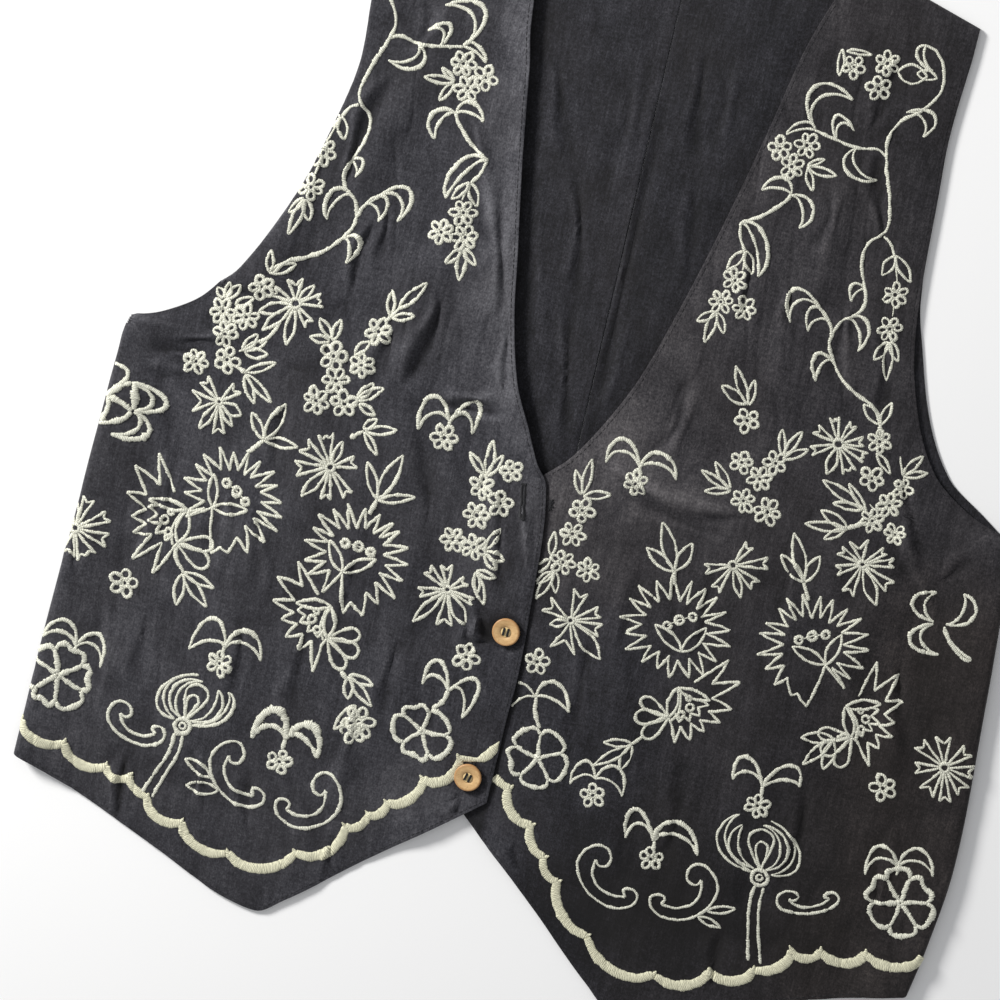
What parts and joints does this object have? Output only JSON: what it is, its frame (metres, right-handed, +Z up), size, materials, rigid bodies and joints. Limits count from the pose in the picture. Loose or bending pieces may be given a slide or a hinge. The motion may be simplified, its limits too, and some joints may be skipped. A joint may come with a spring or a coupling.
{
  "type": "embroidered waistcoat",
  "caption": "Waistcoat laid flat, with a V neck, deep armholes and pointed fronts that overlap and button, covered in satin-stitch flowers above a scalloped hem border.",
  "frame": {"origin": "middle of the garment's footprint, on the ground", "axes": "+Y towards the shoulders, +X to the wearer's left, +Z up from the ground through the back and then the fronts"},
  "size_m": [0.5108, 0.5704, 0.0083],
  "materials": {
    "cloth": "matt charcoal cotton with a slight sheen",
    "button": "polished coconut shell",
    "thread": "cream embroidery thread in satin stitch"
  },
  "bodies": {
    "root": {"right_front": "cloth", "left_front": "cloth", "back_right": "cloth", "back_left": "cloth", "button_middle": "button", "button_lower": "button"}
  },
  "joints": []
}
